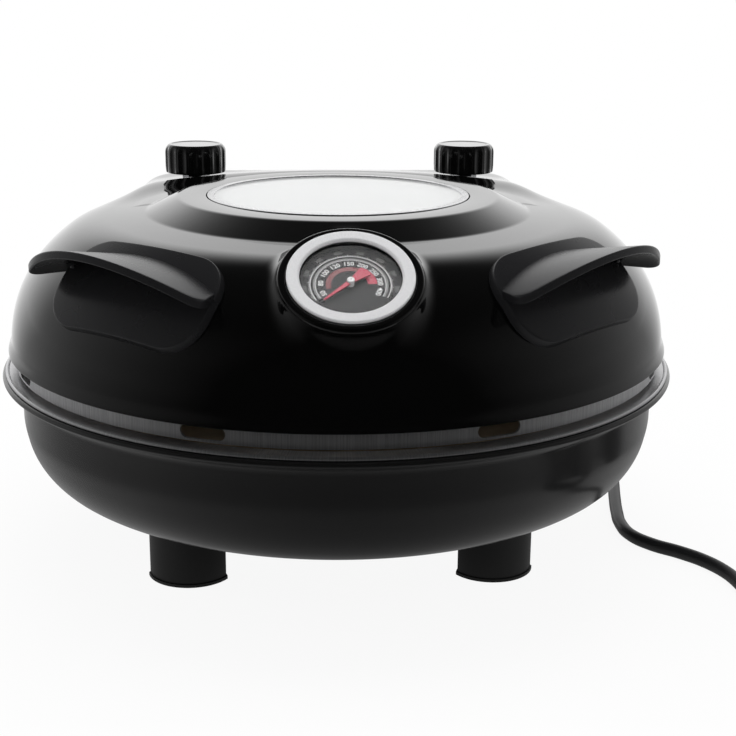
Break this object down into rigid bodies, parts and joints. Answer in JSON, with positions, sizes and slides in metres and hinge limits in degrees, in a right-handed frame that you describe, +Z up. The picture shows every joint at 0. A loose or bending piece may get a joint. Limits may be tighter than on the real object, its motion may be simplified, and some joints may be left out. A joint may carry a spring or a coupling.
{
  "type": "electric pizza maker",
  "caption": "Round countertop electric pizza maker with a hinged domed lid, round lid window, dial thermometer, control knobs, side handles, baking stone and power cord.",
  "frame": {"origin": "on the bowl's vertical axis, in the plane the feet stand on", "axes": "+Z up along the bowl's axis; -Y is the front, where the thermometer is; +Y is the hinge side; X points to the user's right when they face the front"},
  "size_m": [0.47, 0.403, 0.197],
  "materials": {
    "gloss_black": "gloss",
    "pan_steel": "brushed",
    "stone": "matte",
    "element_tube": "matte",
    "clip_steel": "satin",
    "insulator": "matte",
    "foot_plastic": "satin",
    "zinc_steel": "satin",
    "hinge_black": "satin",
    "block_plastic": "matte",
    "cord_rubber": "satin",
    "tie_black": "satin",
    "gasket": "matte",
    "clear_glass": "clear",
    "bright_ring": "brushed",
    "handle_plastic": "satin",
    "knob_plastic": "gloss",
    "dial_grey": "matte",
    "brass": "satin",
    "pointer_red": "satin"
  },
  "bodies": {
    "base": {"base_shell": "gloss_black", "base_inner_pan": "pan_steel", "pizza_stone": "stone", "lower_heating_element": "element_tube", "lower_element_clips": "clip_steel", "lower_element_insulators": "insulator", "front_left_foot": "foot_plastic", "front_right_foot": "foot_plastic", "rear_left_foot": "foot_plastic", "rear_right_foot": "foot_plastic", "foot_screws": "zinc_steel", "left_hinge_bracket": "hinge_black", "right_hinge_bracket": "hinge_black", "bracket_screws": "zinc_steel", "hinge_pins": "zinc_steel", "terminal_block": "block_plastic", "thermal_cutout": "clip_steel", "cord_strain_relief": "cord_rubber", "power_cord": "cord_rubber", "cord_coil": "cord_rubber", "cord_tail": "cord_rubber", "cord_tie": "tie_black", "power_plug": "cord_rubber", "plug_pins": "zinc_steel"},
    "lid": {"lid_shell": "gloss_black", "lid_inner_pan": "pan_steel", "window_sleeve": "pan_steel", "window_gasket": "gasket", "window_glass": "clear_glass", "window_bezel": "bright_ring", "upper_heating_element": "element_tube", "upper_element_clips": "clip_steel", "upper_element_insulators": "insulator", "left_handle": "handle_plastic", "right_handle": "handle_plastic", "handle_screws": "zinc_steel", "left_lid_arm": "hinge_black", "right_lid_arm": "hinge_black", "arm_screws": "zinc_steel", "left_thermostat": "insulator", "right_thermostat": "insulator", "thermostat_nuts": "zinc_steel", "thermometer_case": "clip_steel", "thermometer_bezel": "bright_ring", "thermometer_lens": "clear_glass", "thermometer_dial": "dial_grey", "thermometer_bimetal": "brass", "thermometer_stem": "zinc_steel", "thermometer_nut": "zinc_steel"},
    "left_knob": {"left_control_shaft": "zinc_steel", "left_knob": "knob_plastic"},
    "right_knob": {"right_control_shaft": "zinc_steel", "right_knob": "knob_plastic"},
    "pointer": {"thermometer_pointer": "pointer_red"}
  },
  "joints": [
    {"name": "lid_hinge", "type": "hinge", "parent": "base", "child": "lid", "pos_m": [0, 0.186, 0.106], "axis": [-1, 0, 0], "range_deg": [0, 100]},
    {"name": "left_knob_turn", "type": "hinge", "parent": "lid", "child": "left_knob", "pos_m": [-0.08, 0.122, 0.18], "axis": [0, 0, -1], "range_deg": [0, 270]},
    {"name": "right_knob_turn", "type": "hinge", "parent": "lid", "child": "right_knob", "pos_m": [0.08, 0.122, 0.18], "axis": [0, 0, -1], "range_deg": [0, 270]},
    {"name": "pointer_turn", "type": "hinge", "parent": "lid", "child": "pointer", "pos_m": [0, -0.14, 0.1735], "axis": [0, 0.5299, -0.848], "range_deg": [0, 240]}
  ]
}
